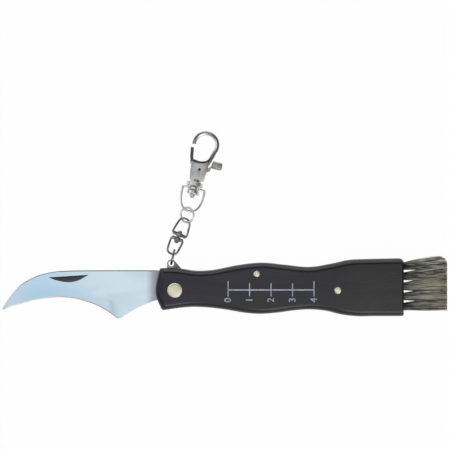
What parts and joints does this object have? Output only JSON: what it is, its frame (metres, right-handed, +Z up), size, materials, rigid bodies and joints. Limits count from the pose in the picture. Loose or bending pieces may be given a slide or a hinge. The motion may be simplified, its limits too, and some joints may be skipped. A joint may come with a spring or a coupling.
{
  "type": "folding mushroom knife",
  "caption": "Folding mushroom knife with a hooked blade, waisted dark wood handle, bristle brush in its end and a snap hook on a short swivel chain.",
  "frame": {"origin": "on the blade's pivot axis, at the pivot rivet's flush underside end, in the plane the knife lies on", "axes": "+X along the handle from the pivot to the brush, +Y to the knife's back, where the chain is, +Z up from the surface it lies on, towards the side with the ruler"},
  "size_m": [0.2077, 0.0873, 0.0143],
  "materials": {
    "wood": "dark stained, satin lacquer",
    "blade_steel": "polished",
    "liner_steel": "plain ground",
    "brass": "pale, polished",
    "nickel": "nickel plated, bright",
    "bristle": "natural grey-brown hair"
  },
  "bodies": {
    "handle": {"front_scale": "wood", "back_scale": "wood", "front_liner": "liner_steel", "back_liner": "liner_steel", "back_spring": "liner_steel", "pivot_rivet": "brass", "spring_pin": "brass", "tail_pin": "brass", "brush_block": "wood", "bristle_tuft_1": "bristle", "bristle_tuft_2": "bristle", "bristle_tuft_3": "bristle", "bristle_tuft_4": "bristle", "bristle_tuft_5": "bristle", "bristle_tuft_6": "bristle", "bristle_tuft_7": "bristle", "bristle_tuft_8": "bristle", "bristle_tuft_9": "bristle", "bristle_tuft_10": "bristle"},
    "blade": {"blade": "blade_steel"},
    "ear_ring": {"ear_ring": "nickel"},
    "swivel_lower": {"swivel_lower_loop": "nickel", "swivel_rivet": "nickel"},
    "swivel_upper": {"swivel_upper_loop": "nickel"},
    "chain_ring": {"chain_ring": "nickel"},
    "bail": {"hook_bail": "nickel"},
    "hook": {"hook_body": "nickel", "swivel_washer": "nickel", "lever_pin": "nickel", "lever_spring": "liner_steel"},
    "lever": {"hook_lever": "nickel"}
  },
  "joints": [
    {"name": "blade_fold", "type": "hinge", "parent": "handle", "child": "blade", "pos_m": [0, 0, 0], "axis": [0, 0, 1], "range_deg": [0, 170], "deforming": ["back_spring"]},
    {"name": "ear_ring_swing", "type": "hinge", "parent": "handle", "child": "ear_ring", "pos_m": [-0.00168, 0.01242, 0.00695], "axis": [0, 0, 1], "range_deg": [-60, 60]},
    {"name": "swivel_pitch", "type": "hinge", "parent": "ear_ring", "child": "swivel_lower", "pos_m": [-0.0018, 0.01706, 0.0054], "axis": [0.9178, -0.3972, 0], "range_deg": [-70, 70]},
    {"name": "swivel_spin", "type": "hinge", "parent": "swivel_lower", "child": "swivel_upper", "pos_m": [-0.0018, 0.01706, 0.0054], "axis": [0.3956, 0.9143, -0.0872], "continuous": true},
    {"name": "chain_ring_swing", "type": "hinge", "parent": "swivel_upper", "child": "chain_ring", "pos_m": [0.00524, 0.03334, 0.00385], "axis": [0.8727, -0.4038, -0.2746], "range_deg": [-30, 30]},
    {"name": "bail_swing", "type": "hinge", "parent": "chain_ring", "child": "bail", "pos_m": [0.0065, 0.03692, 0.00471], "axis": [0.2807, -0.0073, 0.9598], "range_deg": [-20, 20]},
    {"name": "hook_spin", "type": "hinge", "parent": "bail", "child": "hook", "pos_m": [0.00888, 0.04765, 0.00409], "axis": [0.2161, 0.9748, -0.0558], "continuous": true},
    {"name": "lever_press", "type": "hinge", "parent": "hook", "child": "lever", "pos_m": [0.01148, 0.05632, 0.00359], "axis": [-0.0121, -0.0545, -0.9984], "range_deg": [0, 25], "stiffness_Nm_per_rad": 0.03, "springref_deg": -17.19, "deforming": ["lever_spring"]}
  ]
}
